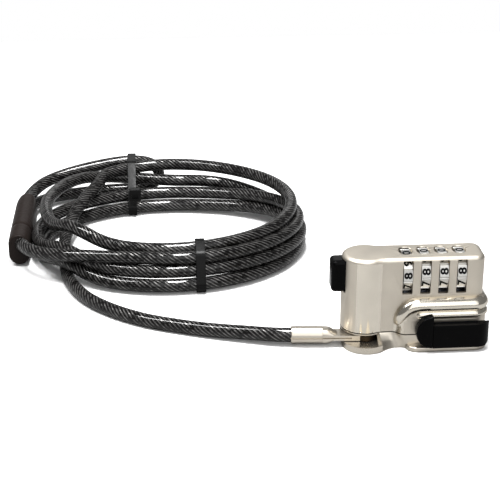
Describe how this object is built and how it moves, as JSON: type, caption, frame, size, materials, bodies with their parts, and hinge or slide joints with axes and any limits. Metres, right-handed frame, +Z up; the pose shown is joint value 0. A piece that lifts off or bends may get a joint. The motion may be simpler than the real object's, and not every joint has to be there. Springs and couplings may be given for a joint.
{
  "type": "laptop cable lock",
  "caption": "Combination lock head with number dials, a push-button and a turn lever that works a T-bar, on a coiled steel cable ending in a noose.",
  "frame": {"origin": "underside of the foot plate, on the mid-plane of the box, right of the barrel", "axes": "+X along the head away from the push-button, +Y to the rear where the T-bar stands out, +Z up"},
  "size_m": [0.1991, 0.1924, 0.0384],
  "materials": {
    "nickel_body": "satin warm nickel plate on a die casting",
    "nickel_foot": "satin warm nickel plate",
    "bright_steel": "turned and polished steel",
    "zinc_steel": "zinc-plated steel",
    "spring_steel": "drawn spring wire and blued strip",
    "brass": "machined brass",
    "black_gloss": "glossy black moulded plastic",
    "dial": "silver dial with black engraved digits",
    "pad_rubber": "matt black rubber",
    "cable": "clear smoky sheath over twisted steel rope",
    "sleeve_plastic": "matt brown-black moulded sleeve",
    "tie_nylon": "black nylon"
  },
  "bodies": {
    "housing": {"main_body": "nickel_body", "foot_plate": "nickel_foot", "foot_screws": "zinc_steel", "rear_pad": "pad_rubber", "eye_rivet": "bright_steel", "detent_spring": "spring_steel", "button_spring": "spring_steel"},
    "button": {"push_button": "black_gloss", "spindle": "zinc_steel", "lock_link": "zinc_steel"},
    "dial_body_1": {"dial_1": "dial", "sleeve_1": "brass"},
    "dial_body_2": {"dial_2": "dial", "sleeve_2": "brass"},
    "dial_body_3": {"dial_3": "dial", "sleeve_3": "brass"},
    "dial_body_4": {"dial_4": "dial", "sleeve_4": "brass"},
    "lever_body": {"lever": "black_gloss", "t_bar_shaft": "bright_steel", "lever_cam": "brass", "retaining_clip": "spring_steel"},
    "cable_body": {"eyelet": "nickel_foot", "ferrule": "bright_steel", "cable_lead": "cable", "cable_coil": "cable", "noose_loop": "cable", "noose_sleeve": "sleeve_plastic", "tie_front": "tie_nylon", "tie_back": "tie_nylon"}
  },
  "joints": [
    {"name": "button_press", "type": "slide", "parent": "housing", "child": "button", "axis": [1, 0, 0], "range_m": [0, 0.0025], "stiffness_N_per_m": 800, "springref_m": -0.002, "deforming": ["button_spring"]},
    {"name": "dial_1_turn", "type": "hinge", "parent": "housing", "child": "dial_body_1", "pos_m": [-0.0026, 0, 0.0299], "axis": [1, 0, 0], "continuous": true},
    {"name": "dial_2_turn", "type": "hinge", "parent": "housing", "child": "dial_body_2", "pos_m": [0.0046, 0, 0.0299], "axis": [1, 0, 0], "continuous": true},
    {"name": "dial_3_turn", "type": "hinge", "parent": "housing", "child": "dial_body_3", "pos_m": [0.0118, 0, 0.0299], "axis": [1, 0, 0], "continuous": true},
    {"name": "dial_4_turn", "type": "hinge", "parent": "housing", "child": "dial_body_4", "pos_m": [0.019, 0, 0.0299], "axis": [1, 0, 0], "continuous": true},
    {"name": "lever_turn", "type": "hinge", "parent": "housing", "child": "lever_body", "pos_m": [0.0071, 0, 0.0091], "axis": [0, -1, 0], "range_deg": [0, 90]},
    {"name": "eyelet_swivel", "type": "hinge", "parent": "housing", "child": "cable_body", "pos_m": [-0.0185, -0.0056, 0.0043], "axis": [0, 0, 1], "range_deg": [-20, 75]}
  ]
}
